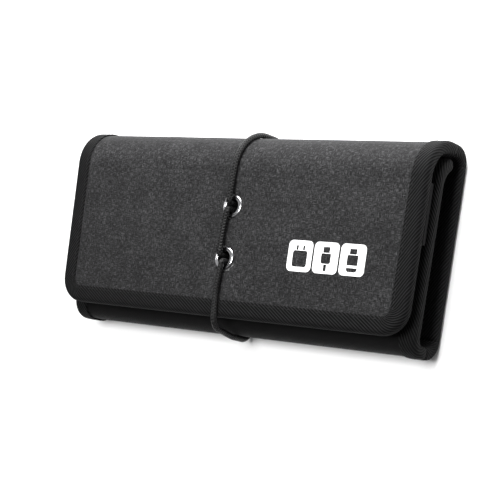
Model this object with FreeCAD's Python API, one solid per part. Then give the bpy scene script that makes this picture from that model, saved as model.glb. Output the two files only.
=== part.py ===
# Cable organizer pouch: a padded tri-fold pouch held shut by a round elastic cord.
# The closed pouch lies on its back. +X runs along its width, +Y points at its top fold,
# +Z comes out of the front flap. All sizes are in millimetres.
import FreeCAD
import Part
import math
import os

V = FreeCAD.Vector
os.makedirs("parts", exist_ok=True)

# ---- driving dimensions ----
WIDTH = 250.0            # over the binding tape at both ends
HEIGHT = 117.0           # top fold to bottom fold, over the tape
THICK = 40.0             # back tape to flap tape, closed
TAPE = 0.9               # binding tape
BAND = 10.0              # how far the tape covers each face
FABRIC = 0.8             # outer cloth
FOAM = 3.6               # padding board
LINING = 0.8             # inner cloth
PANEL = FABRIC + FOAM + LINING
REAR_FOLD_R = 10.0       # outer radius of both rear folds and of the lower front fold
FRONT_FOLD_R = 22.0      # outer radius of the fold from the top to the flap
LEAF_OUT = 26.5          # outer face of the lower leaf
FLAP_EDGE = -50.0        # free edge of the flap, over the tape
FLAP_CORNER_R = 15.0
LEAF_CURL_Y = 33.0       # where the leaf's free end starts to curl in under the top fold
LEAF_CURL_R = 17.0       # outer radius of that curl
LEAF_CURL_END = 12.0     # angle of the leaf's free edge, over the tape

EYELET_Y = {"upper": 13.5, "lower": -16.5}
EYELET_HOLE_R = 4.0
EYELET_FLANGE_R = 6.8
EYELET_WALL = 0.4
EYELET_FLANGE = 0.8
WASHER = 0.8
EYELET_LIP = 0.4

CORD_R = 1.5
CORD_FRONT_Z = 41.6      # centreline of the strands on the flap
CORD_BACK_Z = 1.6        # centreline of the strand sunk in the back
CORD_SIDE_Y = 59.15      # centreline over the top and bottom folds
GROOVE_R = 1.6
GROOVE_LINER_R = 2.4
KNOT_R = 5.0
KNOT_LOW = 28.6

ICON_X = 44.8            # left side of the first printed tile
ICON_PITCH = 17.25
ICON_W = 16.1
ICON_H = 17.2
ICON_LOW = -20.6
ICON_THICK = 0.25
ICON_CORNER_R = 2.8

# ---- levels that follow ----
HALF_W = WIDTH / 2
CLOTH_X = HALF_W - TAPE
BACK_OUT = TAPE
BACK_IN = BACK_OUT + PANEL
FLAP_OUT = THICK - TAPE
FLAP_IN = FLAP_OUT - PANEL
LEAF_IN = LEAF_OUT - PANEL
SIDE_OUT = HEIGHT / 2 - TAPE
REAR_Y = SIDE_OUT - REAR_FOLD_R
REAR_Z = BACK_OUT + REAR_FOLD_R
FRONT_Y = SIDE_OUT - FRONT_FOLD_R
FRONT_Z = FLAP_OUT - FRONT_FOLD_R
LEAF_Z = LEAF_OUT - REAR_FOLD_R

made = []


def save(name, shape):
    """Write one piece as parts/<name>.step."""
    if len(shape.Solids) != 1:
        raise ValueError(f"{name} has {len(shape.Solids)} solids")
    shape = shape.Solids[0]
    if not shape.isValid():
        raise ValueError(f"{name} is not valid")
    shape.exportStep(f"parts/{name}.step")
    made.append(name)
    return shape


def box(x0, x1, y0, y1, z0, z1):
    return Part.makeBox(x1 - x0, y1 - y0, z1 - z0, V(x0, y0, z0))


def face_of(edges):
    return Part.Face(Part.Wire(edges))


def plate(x0, x1, y0, y1, z0, z1, low_r=0.0, high_r=0.0):
    """A plate with rounded corners on its low-Y and high-Y sides."""
    h = math.sqrt(0.5)
    edges = []

    def corner(cx, cy, r, ax, ay, bx, by):
        a = V(cx + ax * r, cy + ay * r, z0)
        b = V(cx + bx * r, cy + by * r, z0)
        m = V(cx + (ax + bx) * r * h, cy + (ay + by) * r * h, z0)
        return a, m, b

    spots = [
        corner(x0 + low_r, y0 + low_r, low_r, -1, 0, 0, -1),
        corner(x1 - low_r, y0 + low_r, low_r, 0, -1, 1, 0),
        corner(x1 - high_r, y1 - high_r, high_r, 1, 0, 0, 1),
        corner(x0 + high_r, y1 - high_r, high_r, 0, 1, -1, 0),
    ]
    for i, (a, m, b) in enumerate(spots):
        if (a - b).Length > 1e-6:
            edges.append(Part.Arc(a, m, b).toShape())
        nxt = spots[(i + 1) % 4][0]
        edges.append(Part.LineSegment(b, nxt).toShape())
    return face_of(edges).extrude(V(0, 0, z1 - z0))


def bend(cy, cz, r0, r1, a0, a1, x0, x1):
    """A quarter of a tube along X between two angles, measured from +Y towards +Z."""
    def at(r, a):
        t = math.radians(a)
        return V(x0, cy + r * math.cos(t), cz + r * math.sin(t))
    mid = (a0 + a1) / 2
    edges = [
        Part.Arc(at(r1, a0), at(r1, mid), at(r1, a1)).toShape(),
        Part.LineSegment(at(r1, a1), at(r0, a1)).toShape(),
        Part.Arc(at(r0, a1), at(r0, mid), at(r0, a0)).toShape(),
        Part.LineSegment(at(r0, a0), at(r1, a0)).toShape(),
    ]
    return face_of(edges).extrude(V(x1 - x0, 0, 0))


def ring(x, y, r0, r1, z0, z1):
    outer = Part.makeCylinder(r1, z1 - z0, V(x, y, z0))
    return outer.cut(Part.makeCylinder(r0, z1 - z0, V(x, y, z0)))


def route(corners):
    """One wire of straight runs joined by arcs. Each corner is (point, bend radius)."""
    edges = []
    start = corners[0][0]
    for i in range(1, len(corners) - 1):
        p, r = corners[i]
        back = (corners[i - 1][0] - p).normalize()
        ahead = (corners[i + 1][0] - p).normalize()
        turn = math.pi - back.getAngle(ahead)
        leg = r * math.tan(turn / 2)
        a = p + back * leg
        b = p + ahead * leg
        inward = (back + ahead).normalize()
        centre = p + inward * (r / math.cos(turn / 2))
        m = centre - inward * r
        if (a - start).Length > 1e-6:
            edges.append(Part.LineSegment(start, a).toShape())
        edges.append(Part.Arc(a, m, b).toShape())
        start = b
    edges.append(Part.LineSegment(start, corners[-1][0]).toShape())
    return Part.Wire(edges)


def tube(wire, r):
    """A round tube along a wire."""
    first = wire.Edges[0]
    p = wire.Vertexes[0].Point
    t = first.tangentAt(first.FirstParameter)
    disc = Part.Wire([Part.Circle(p, t, r).toShape()])
    return wire.makePipeShell([disc], True, False)


# ---- the elastic cord's route ----
def cord_corners():
    up = EYELET_Y["upper"]
    low = EYELET_Y["lower"]
    f = CORD_FRONT_Z
    side = CORD_SIDE_Y
    end = KNOT_LOW + 2.0
    turn = KNOT_LOW + CORD_R + 0.3
    return [
        (V(-1.2, up + 1.7, end), 0),
        (V(-1.2, up + 1.7, f), 1.7),
        (V(-0.9, up + 10.5, f), 20.0),
        (V(-0.6, side, f), FRONT_FOLD_R + CORD_R),
        (V(1.0, side, CORD_BACK_Z), 9.2),
        (V(-1.8, -side, CORD_BACK_Z), 9.2),
        (V(1.2, -side, 22.0), 16.0),
        (V(1.8, FLAP_EDGE - 5.8, f), 7.0),
        (V(-0.3, low - 19.5, f), 20.0),
        (V(0.6, low - 1.7, f), 1.7),
        (V(0.6, low - 1.7, turn), 2.0),
        (V(-1.9, low + 1.5, turn), 2.0),
        (V(-1.9, low + 1.5, f), 1.7),
        (V(-2.2, low + 8.0, f), 10.0),
        (V(-2.0, up - 8.0, f), 10.0),
        (V(-1.4, up - 1.6, f), 1.7),
        (V(-1.4, up - 1.6, end), 0),
    ]


def part_way(a, b, z):
    """The point of the line a-b at height z."""
    k = (z - a.z) / (b.z - a.z)
    return a + (b - a) * k


corners = cord_corners()
cord_wire = route(corners)
cord = tube(cord_wire, CORD_R)
top_front, top_rear, low_rear, low_front = [c[0] for c in corners[3:7]]
groove_wire = route([
    (part_way(top_front, top_rear, 22.0), 0),
    (top_rear, 9.2),
    (low_rear, 9.2),
    (part_way(low_rear, low_front, 14.5), 0),
])
groove = tube(groove_wire, GROOVE_R)
groove_liner = tube(groove_wire, GROOVE_LINER_R)


def dented_cloth(cloth, whole):
    """Cloth that dips under the cord, inside the panel 'whole'."""
    dip = groove_liner.common(whole)
    return cloth.fuse(dip).cut(groove).removeSplitter()


# ---- back panel ----
def flat_layers(y0, y1, z_out, sign):
    """Cloth, foam and lining boxes from the outer face inwards; sign is the way in."""
    def layer(a, b):
        lo, hi = sorted((z_out + sign * a, z_out + sign * b))
        return box(-CLOTH_X, CLOTH_X, y0, y1, lo, hi)
    return (layer(0, FABRIC), layer(FABRIC, FABRIC + FOAM), layer(FABRIC + FOAM, PANEL))


back_whole = box(-CLOTH_X, CLOTH_X, -REAR_Y, REAR_Y, BACK_OUT, BACK_IN)
cloth, foam, lining = flat_layers(-REAR_Y, REAR_Y, BACK_OUT, 1)
save("back_fabric", dented_cloth(cloth, back_whole))
save("back_foam", foam.cut(groove_liner))
save("back_lining", lining)


def end_tape(outer_of):
    """Tape round one end of a strip: outer_of(x0, x1, grow) gives the strip's solid."""
    found = {}
    for name, s in (("left", -1), ("right", 1)):
        lo, hi = sorted((s * (HALF_W - BAND), s * HALF_W))
        clo, chi = sorted((s * (HALF_W - BAND), s * CLOTH_X))
        found[name] = outer_of(lo, hi, TAPE).cut(outer_of(clo, chi, 0.0))
    return found


def back_strip(x0, x1, grow):
    return box(x0, x1, -REAR_Y, REAR_Y, BACK_OUT - grow, BACK_IN + grow)


for side, tape in end_tape(back_strip).items():
    save(f"back_binding_{side}", tape)


# ---- folds and spines ----
def fold(name, cy, cz, r, a0, a1, dented):
    """A fold's cloth, lining and end tapes, all between two angles."""
    whole = bend(cy, cz, r - PANEL, r, a0, a1, -CLOTH_X, CLOTH_X)
    skin = bend(cy, cz, r - FABRIC, r, a0, a1, -CLOTH_X, CLOTH_X)
    inner = bend(cy, cz, r - PANEL, r - FABRIC, a0, a1, -CLOTH_X, CLOTH_X)
    if dented:
        skin = dented_cloth(skin, whole)
        inner = inner.cut(groove_liner)
    save(f"{name}_fabric", skin)
    save(f"{name}_lining", inner)

    def strip(x0, x1, grow):
        return bend(cy, cz, r - PANEL - grow, r + grow, a0, a1, x0, x1)
    for side, tape in end_tape(strip).items():
        save(f"{name}_binding_{side}", tape)


def spine(name, way, z0, z1):
    """An upright strip at the top (way 1) or the bottom (way -1) of the pouch."""
    def layer(a, b, x0=-CLOTH_X, x1=CLOTH_X):
        lo, hi = sorted((way * (SIDE_OUT - a), way * (SIDE_OUT - b)))
        return box(x0, x1, lo, hi, z0, z1)
    save(f"{name}_fabric", layer(0, FABRIC))
    save(f"{name}_foam", layer(FABRIC, FABRIC + FOAM))
    save(f"{name}_lining", layer(FABRIC + FOAM, PANEL))

    def strip(x0, x1, grow):
        return layer(-grow, PANEL + grow, x0, x1)
    for side, tape in end_tape(strip).items():
        save(f"{name}_binding_{side}", tape)


fold("top_rear_fold", REAR_Y, REAR_Z, REAR_FOLD_R, -90, 0, True)
spine("top_spine", 1, REAR_Z, FRONT_Z)
fold("top_front_fold", FRONT_Y, FRONT_Z, FRONT_FOLD_R, 0, 90, False)
fold("bottom_rear_fold", -REAR_Y, REAR_Z, REAR_FOLD_R, 180, 270, True)
spine("bottom_spine", -1, REAR_Z, LEAF_Z)
fold("bottom_front_fold", -REAR_Y, LEAF_Z, REAR_FOLD_R, 90, 180, False)


# ---- flap and lower leaf ----
def edged_panel(y0, y1, z0, z1, low_r, high_r):
    """The panel inside the tape, and the tape round its two ends and its free edge."""
    low = 1 if low_r else 0
    high = 1 if high_r else 0

    def outline(inset, a, b):
        return plate(-HALF_W + inset, HALF_W - inset, y0 + inset * low, y1 - inset * high,
                     a, b, max(low_r - inset, 0), max(high_r - inset, 0))

    def layer(a, b):
        return outline(TAPE, a, b)
    whole = outline(0, z0 - TAPE, z1 + TAPE)
    tape = whole.cut(outline(BAND, z0 - TAPE, z1 + TAPE)).cut(layer(z0, z1))
    return layer, tape


flap_layer, flap_tape = edged_panel(FLAP_EDGE, FRONT_Y, FLAP_IN, FLAP_OUT, FLAP_CORNER_R, 0)
holes = [Part.makeCylinder(EYELET_HOLE_R + EYELET_WALL, 20, V(0, y, FLAP_IN - 5))
         for y in EYELET_Y.values()]


def with_holes(shape):
    for h in holes:
        shape = shape.cut(h)
    return shape


save("flap_fabric", with_holes(flap_layer(FLAP_OUT - FABRIC, FLAP_OUT)))
save("flap_foam", with_holes(flap_layer(FLAP_IN + LINING, FLAP_OUT - FABRIC)))
save("flap_lining", with_holes(flap_layer(FLAP_IN, FLAP_IN + LINING)))
save("flap_binding", flap_tape)


def leaf_body(half, tip, out_depth, in_depth):
    """The leaf between two depths under its outer face, curled as far as the angle tip."""
    flat = box(-half, half, -REAR_Y, LEAF_CURL_Y, LEAF_OUT - in_depth, LEAF_OUT - out_depth)
    curl = bend(LEAF_CURL_Y, LEAF_OUT - LEAF_CURL_R, LEAF_CURL_R - in_depth,
                LEAF_CURL_R - out_depth, tip, 90, -half, half)
    return flat.fuse(curl).removeSplitter()


def tip_angle(inset):
    """The angle at a distance from the leaf's free edge, along its mid-thickness."""
    return LEAF_CURL_END + math.degrees(inset / (LEAF_CURL_R - PANEL / 2))


leaf_tip = tip_angle(TAPE)
leaf_tape = leaf_body(HALF_W, LEAF_CURL_END, -TAPE, PANEL + TAPE)
leaf_tape = leaf_tape.cut(leaf_body(HALF_W - BAND, tip_angle(BAND), -TAPE - 1, PANEL + TAPE + 1))
leaf_tape = leaf_tape.cut(leaf_body(CLOTH_X, leaf_tip, 0, PANEL))
save("leaf_fabric", leaf_body(CLOTH_X, leaf_tip, 0, FABRIC))
save("leaf_foam", leaf_body(CLOTH_X, leaf_tip, FABRIC, FABRIC + FOAM))
save("leaf_lining", leaf_body(CLOTH_X, leaf_tip, FABRIC + FOAM, PANEL))
save("leaf_binding", leaf_tape)
save("leaf_pocket", plate(-112, 112, -44, 10, LEAF_IN - 0.9, LEAF_IN, 3, 0))


# ---- eyelets, washers, cord and its knots ----
def eyelet(y):
    wall = ring(0, y, EYELET_HOLE_R, EYELET_HOLE_R + EYELET_WALL,
                FLAP_IN - WASHER, FLAP_OUT)
    flange = ring(0, y, EYELET_HOLE_R, EYELET_FLANGE_R, FLAP_OUT, FLAP_OUT + EYELET_FLANGE)
    rim = [e for e in flange.Edges if e.BoundBox.ZMin > FLAP_OUT + EYELET_FLANGE - 1e-6
           and e.BoundBox.XMax > EYELET_FLANGE_R - 0.01]
    flange = flange.makeFillet(EYELET_FLANGE * 0.7, rim)
    lip = ring(0, y, EYELET_HOLE_R, EYELET_HOLE_R + 1.1,
               FLAP_IN - WASHER - EYELET_LIP, FLAP_IN - WASHER)
    return wall.fuse(flange).fuse(lip).removeSplitter()


for name, y in EYELET_Y.items():
    save(f"eyelet_{name}", eyelet(y))
    save(f"washer_{name}", ring(0, y, EYELET_HOLE_R + EYELET_WALL, EYELET_FLANGE_R,
                                FLAP_IN - WASHER, FLAP_IN))
    top = FLAP_IN - WASHER - EYELET_LIP - 0.1
    lump = Part.makeCylinder(KNOT_R, top - KNOT_LOW, V(0, y, KNOT_LOW))
    lump = lump.makeFillet(1.4, [e for e in lump.Edges if len(e.Vertexes) == 1])
    save(f"cord_knot_{name}", lump.cut(cord))

save("elastic_cord", cord)


# ---- printed tiles on the flap ----
def tile(k, cuts):
    x = ICON_X + k * ICON_PITCH
    z0 = FLAP_OUT
    z1 = FLAP_OUT + ICON_THICK
    body = plate(x, x + ICON_W, ICON_LOW, ICON_LOW + ICON_H, z0, z1,
                 ICON_CORNER_R, ICON_CORNER_R)
    for x0, x1, y0, y1, low_r, high_r in cuts:
        body = body.cut(plate(x + x0, x + x1, ICON_LOW + y0, ICON_LOW + y1,
                              z0 - 1, z1 + 1, low_r, high_r))
    return body


# each cut is (x0, x1, y0, y1, low corner radius, high corner radius) from the tile's corner
save("icon_charger", tile(0, [(3.2, 12.9, 2.6, 11.6, 1.4, 1.4),
                              (5.2, 6.5, 11.9, 14.4, 0.3, 0.3),
                              (9.6, 10.9, 11.9, 14.4, 0.3, 0.3)]))
save("icon_cable", tile(1, [(5.9, 10.2, 11.4, 14.6, 0.3, 0.3),
                            (4.9, 11.2, 5.4, 11.0, 1.2, 0.5),
                            (7.1, 9.0, 1.4, 5.0, 0.3, 0.3)]))
save("icon_stick", tile(2, [(5.8, 10.3, 11.6, 14.6, 0.3, 0.3),
                            (4.6, 11.5, 5.6, 11.2, 0.4, 0.4),
                            (4.6, 11.5, 2.0, 4.2, 1.6, 0.2)]))


# ---- mesh pocket inside the flap ----
POCKET_TOP = 33.0
POCKET_LOW = 30.1        # inner face of the mesh
MESH = 0.8
pocket = plate(-122.0, 122.0, 1.0, POCKET_TOP - 1.0, POCKET_LOW - MESH, POCKET_LOW)
walls = box(-114.0, 114.0, 1.0, POCKET_TOP - 1.0, POCKET_LOW, FLAP_IN)
walls = walls.cut(box(-113.2, 113.2, 0.0, POCKET_TOP - 1.8, POCKET_LOW, FLAP_IN))
island = box(-8.8, 8.8, 5.4, 22.6, POCKET_LOW, FLAP_IN)
window = box(-8.0, 8.0, 6.2, 21.8, POCKET_LOW - 5, FLAP_IN)
walls = walls.fuse(island).cut(window)   # the upper cord knot sits in this window
pocket = pocket.cut(window)
save("flap_pocket_mesh", pocket.fuse(walls).removeSplitter())
rim = box(-123.0, 123.0, 0.0, POCKET_TOP, POCKET_LOW - MESH - 0.8, POCKET_LOW + 0.8)
rim = rim.cut(box(-116.0, 116.0, 6.0, POCKET_TOP - 5.0, POCKET_LOW - 5, POCKET_LOW + 5))
rim = rim.cut(box(-122.0, 122.0, 1.0, POCKET_TOP - 1.0, POCKET_LOW - MESH, POCKET_LOW))
rim = rim.cut(box(-114.0, 114.0, 0.0, POCKET_TOP - 1.0, POCKET_LOW, POCKET_LOW + 5))
save("flap_pocket_binding", rim.cut(box(-114.2, 114.2, 0, 60, POCKET_LOW, POCKET_LOW + 5)))


# ---- elastic cable loops on the back's lining ----
LOOPS = 3                # on each half of the pouch
LOOP_PITCH = 36.0
LOOP_SPAN = 28.0
LOOP_RISE = 9.4
STRAP = 1.2


def loop_band(start, y0, y1):
    z0 = BACK_IN
    land = (LOOP_PITCH - LOOP_SPAN) / 2
    under = []
    over = []
    x = start
    for _ in range(LOOPS):
        a = x + land
        b = x + LOOP_PITCH - land
        m = (a + b) / 2
        under.append(Part.LineSegment(V(x, y0, z0), V(a + STRAP, y0, z0)).toShape())
        under.append(Part.Arc(V(a + STRAP, y0, z0), V(m, y0, z0 + LOOP_RISE - STRAP),
                              V(b - STRAP, y0, z0)).toShape())
        under.append(Part.LineSegment(V(b - STRAP, y0, z0),
                                      V(x + LOOP_PITCH, y0, z0)).toShape())
        over.append(Part.LineSegment(V(x, y0, z0 + STRAP), V(a, y0, z0 + STRAP)).toShape())
        over.append(Part.Arc(V(a, y0, z0 + STRAP), V(m, y0, z0 + LOOP_RISE),
                             V(b, y0, z0 + STRAP)).toShape())
        over.append(Part.LineSegment(V(b, y0, z0 + STRAP),
                                     V(x + LOOP_PITCH, y0, z0 + STRAP)).toShape())
        x += LOOP_PITCH
    left = Part.LineSegment(V(start, y0, z0), V(start, y0, z0 + STRAP)).toShape()
    right = Part.LineSegment(V(x, y0, z0), V(x, y0, z0 + STRAP)).toShape()
    edges = Part.__sortEdges__(under + over + [left, right])
    return face_of(edges).extrude(V(0, y1 - y0, 0)).removeSplitter()


save("cable_loops_left", loop_band(-LOOPS * LOOP_PITCH - 0.5, -40.0, -18.0))
save("cable_loops_right", loop_band(0.5, -40.0, -18.0))

# ---- zipped mesh pocket on the back's lining ----
ZIP_Y = 26.0
ZIP_HALF_GAP = 0.3       # half the slit that the slider's neck runs in
ZIP_TEETH = 1.7          # width of each row of teeth
ZIP_TAPE = 4.0
ZIP_LOW = BACK_IN + 1.2  # under the zip tape
SHEET = 0.7
NET_X = 104.0
NET_LOW = 3.0


def zip_half(way):
    inner = ZIP_Y + way * ZIP_HALF_GAP
    teeth = ZIP_Y + way * (ZIP_HALF_GAP + ZIP_TEETH)
    edge = ZIP_Y + way * (ZIP_HALF_GAP + ZIP_TAPE)
    y0, y1 = sorted((inner, teeth))
    t0, t1 = sorted((inner, edge))
    row = box(-NET_X + 4, NET_X - 4, y0, y1, ZIP_LOW - 0.1, ZIP_LOW + 1.8)
    cloth = box(-NET_X, NET_X, t0, t1, ZIP_LOW, ZIP_LOW + SHEET)
    return cloth.fuse(row).removeSplitter()


save("zip_half_lower", zip_half(-1))
save("zip_half_upper", zip_half(1))
net_top = ZIP_Y - ZIP_HALF_GAP - ZIP_TAPE
save("zip_pocket_mesh", box(-NET_X, NET_X, NET_LOW, net_top, ZIP_LOW, ZIP_LOW + SHEET))
frame = box(-NET_X - 5, NET_X + 5, NET_LOW - 5, ZIP_Y + 7.8, BACK_IN, ZIP_LOW + SHEET + 0.8)
frame = frame.cut(box(-NET_X, NET_X, NET_LOW, ZIP_Y + ZIP_HALF_GAP + ZIP_TAPE, 0, 20))
save("zip_pocket_frame", frame)

# ---- zip slider and pull tab, at the left end of the closed zip ----
SLIDER_X = -94.0
SLIDER_L = 9.0
SLIDER_W = 7.4
PIN_R = 0.7
PIN_Z = ZIP_LOW + 4.5
TAB_L = 5.2              # pin to the middle of the tab's round end
TAB_R = 2.6
slider_low = ZIP_LOW - 1.0
slider_top = ZIP_LOW + 1.9


def slider():
    x0 = SLIDER_X - SLIDER_L / 2
    x1 = SLIDER_X + SLIDER_L / 2
    y0 = ZIP_Y - SLIDER_W / 2
    y1 = ZIP_Y + SLIDER_W / 2
    upper = plate(x0, x1, y0, y1, slider_top, slider_top + 1.1, 2.0, 2.0)
    lower = plate(x0, x1, y0, y1, slider_low, slider_low + 0.8, 2.0, 2.0)
    neck = box(x0 + 2.5, x1 - 2.5, ZIP_Y - 0.2, ZIP_Y + 0.2, slider_low + 0.4, slider_top + 0.4)
    body = upper.fuse(lower).fuse(neck)
    for way in (-1, 1):
        lo, hi = sorted((ZIP_Y + way * 2.2, ZIP_Y + way * 3.2))
        body = body.fuse(box(SLIDER_X - 1.4, SLIDER_X + 1.4, lo, hi, slider_top, PIN_Z + 1.2))
    pin = Part.makeCylinder(PIN_R, 5.4, V(SLIDER_X, ZIP_Y - 2.7, PIN_Z), V(0, 1, 0))
    return body.fuse(pin).removeSplitter()


def pull():
    eye = Part.makeCylinder(1.4, 4.0, V(SLIDER_X, ZIP_Y - 2.0, PIN_Z), V(0, 1, 0))
    tab = box(SLIDER_X, SLIDER_X + TAB_L, ZIP_Y - 2.0, ZIP_Y + 2.0, PIN_Z - 0.7, PIN_Z + 0.7)
    tab = tab.fuse(Part.makeCylinder(TAB_R, 1.4, V(SLIDER_X + TAB_L, ZIP_Y, PIN_Z - 0.7)))
    slot = Part.makeCylinder(1.2, 4.0, V(SLIDER_X + TAB_L, ZIP_Y, PIN_Z - 2))
    bore = Part.makeCylinder(PIN_R + 0.05, 8.0, V(SLIDER_X, ZIP_Y - 4.0, PIN_Z), V(0, 1, 0))
    return eye.fuse(tab).cut(slot).cut(bore).removeSplitter()


save("zip_slider", slider())
save("zip_pull", pull())

print("pieces", len(made))
print("cord length", round(cord_wire.Length, 1))
print("cord box", cord.BoundBox)
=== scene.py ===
# Looks of the cable organizer pouch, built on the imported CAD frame. Metres, same frame as the CAD.
# The closed pouch lies on its back: +X width, +Y towards the top fold, +Z out of the front flap.
import math

import bmesh
import bpy
import numpy as np
from mathutils import Matrix, Vector


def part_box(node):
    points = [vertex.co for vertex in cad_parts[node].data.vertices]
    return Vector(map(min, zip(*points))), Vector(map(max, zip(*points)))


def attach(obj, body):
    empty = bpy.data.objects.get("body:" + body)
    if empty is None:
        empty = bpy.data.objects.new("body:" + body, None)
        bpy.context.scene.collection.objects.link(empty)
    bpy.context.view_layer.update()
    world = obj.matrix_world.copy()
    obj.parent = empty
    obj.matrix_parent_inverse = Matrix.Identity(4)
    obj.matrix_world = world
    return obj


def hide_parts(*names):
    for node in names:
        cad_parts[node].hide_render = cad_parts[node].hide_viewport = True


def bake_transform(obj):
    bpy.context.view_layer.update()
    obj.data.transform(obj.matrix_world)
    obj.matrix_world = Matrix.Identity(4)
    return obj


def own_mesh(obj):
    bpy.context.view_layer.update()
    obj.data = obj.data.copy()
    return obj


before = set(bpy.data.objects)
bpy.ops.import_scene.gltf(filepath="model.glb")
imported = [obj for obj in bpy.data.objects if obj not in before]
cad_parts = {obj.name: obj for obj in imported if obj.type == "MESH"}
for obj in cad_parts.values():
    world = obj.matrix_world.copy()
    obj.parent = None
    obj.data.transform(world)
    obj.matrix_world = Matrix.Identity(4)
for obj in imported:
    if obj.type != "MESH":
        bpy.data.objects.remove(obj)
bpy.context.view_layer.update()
MM = 0.001


# ---------------------------------------------------------------- sizes read from the frame
def low(node):
    return Vector(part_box(node)[0])


def high(node):
    return Vector(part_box(node)[1])


HALF_W = high("flap_binding").x              # over the tape
TAPE = low("back_fabric").z                  # tape thickness
CLOTH_X = high("back_fabric").x
BAND = 10 * MM                               # tape width on each face
CLOTH_T = high("flap_fabric").z - low("flap_fabric").z
PANEL = high("flap_fabric").z - low("flap_lining").z
BACK_Z = low("back_fabric").z
FLAP_Z = high("flap_fabric").z
LEAF_Z = high("leaf_fabric").z
SIDE_Y = high("top_spine_fabric").y
REAR_Y = high("back_foam").y
FRONT_Y = high("flap_foam").y
REAR_Z = low("top_spine_foam").z
FRONT_Z = high("top_spine_foam").z
LEAF_ARC_Z = high("bottom_spine_foam").z
FLAP_EDGE = low("flap_binding").y
CURL_R = 17 * MM                             # the leaf's free end curls in under the top fold
CURL_END = 12.0                              # degrees, over the tape
CURL_Y = high("leaf_binding").y - (CURL_R + TAPE) * math.cos(math.radians(CURL_END))
TAPER_LEFT = 0.50                            # how much wider per metre the left end gets upwards
TAPER_RIGHT = 0.08
FLAP_CORNER = 15 * MM
LEAF_CORNER = 6 * MM
EYELETS = {n: (low(n) + high(n)) / 2 for n in ("eyelet_upper", "eyelet_lower")}
CORD_R = 1.5 * MM                            # the frame's cord
CORD_DRAWN_R = 1.7 * MM                      # its soft braid stands a little fuller


# ---------------------------------------------------------------- node trees
class Tree:
    """A short way to write a material's nodes."""

    def __init__(self, name, base, rough, spec=0.5):
        self.mat = bpy.data.materials.new(name)
        self.mat.use_nodes = True
        self.nodes = self.mat.node_tree.nodes
        self.links = self.mat.node_tree.links
        self.bsdf = self.nodes["Principled BSDF"]
        self.bsdf.inputs["Base Color"].default_value = (*base, 1)
        self.bsdf.inputs["Roughness"].default_value = rough
        self.bsdf.inputs["Specular IOR Level"].default_value = spec
        self.mat.diffuse_color = (*base, 1)

    def add(self, kind, **values):
        node = self.nodes.new(kind)
        for key, value in values.items():
            setattr(node, key, value)
        return node

    def put(self, socket, value):
        if isinstance(value, bpy.types.NodeSocket):
            self.links.new(value, socket)
        else:
            socket.default_value = value

    def coords(self, source="UV", scale=(1, 1, 1), turn=0.0):
        tex = self.add("ShaderNodeTexCoord")
        node = self.add("ShaderNodeMapping")
        self.links.new(tex.outputs[source], node.inputs["Vector"])
        node.inputs["Scale"].default_value = scale
        node.inputs["Rotation"].default_value = (0, 0, turn)
        return node.outputs["Vector"]

    def wave(self, vector, scale, distort=0.0, detail=0.0, axis="X"):
        node = self.add("ShaderNodeTexWave", wave_type="BANDS", bands_direction=axis)
        self.links.new(vector, node.inputs["Vector"])
        node.inputs["Scale"].default_value = scale
        node.inputs["Distortion"].default_value = distort
        node.inputs["Detail"].default_value = detail
        return node.outputs["Fac"]

    def noise(self, vector, scale, detail=2.0, rough=0.5):
        node = self.add("ShaderNodeTexNoise")
        self.links.new(vector, node.inputs["Vector"])
        node.inputs["Scale"].default_value = scale
        node.inputs["Detail"].default_value = detail
        node.inputs["Roughness"].default_value = rough
        return node.outputs["Fac"]

    def math(self, operation, a, b=0.0):
        node = self.add("ShaderNodeMath", operation=operation)
        self.put(node.inputs[0], a)
        self.put(node.inputs[1], b)
        return node.outputs[0]

    def ramp(self, value, stops):
        node = self.add("ShaderNodeValToRGB")
        self.links.new(value, node.inputs["Fac"])
        points = node.color_ramp.elements
        while len(points) < len(stops):
            points.new(0.5)
        for point, (at, colour) in zip(points, stops):
            point.position = at
            point.color = (*colour, 1)
        return node.outputs["Color"]

    def bump(self, height, distance, strength=1.0, under=None):
        node = self.add("ShaderNodeBump")
        self.links.new(height, node.inputs["Height"])
        node.inputs["Distance"].default_value = distance
        node.inputs["Strength"].default_value = strength
        if under is not None:
            self.links.new(under, node.inputs["Normal"])
        return node.outputs["Normal"]

    def colour(self, value):
        self.links.new(value, self.bsdf.inputs["Base Color"])

    def normal(self, value):
        self.links.new(value, self.bsdf.inputs["Normal"])

    def rough(self, value, lo, hi):
        node = self.add("ShaderNodeMapRange")
        self.links.new(value, node.inputs["Value"])
        node.inputs["To Min"].default_value = lo
        node.inputs["To Max"].default_value = hi
        self.links.new(node.outputs["Result"], self.bsdf.inputs["Roughness"])

    def sheen(self, weight, rough, tint):
        self.bsdf.inputs["Sheen Weight"].default_value = weight
        self.bsdf.inputs["Sheen Roughness"].default_value = rough
        self.bsdf.inputs["Sheen Tint"].default_value = (*tint, 1)


def grey(v):
    return (v, v, v * 1.03)


def bands(pitch):
    """The wave texture's scale that gives one band per 'pitch' metres."""
    return 2.0 / (math.tau * pitch)


WEAVE_PITCH = 4.0 / 1100                     # relief of the heather cloth, in metres


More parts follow.
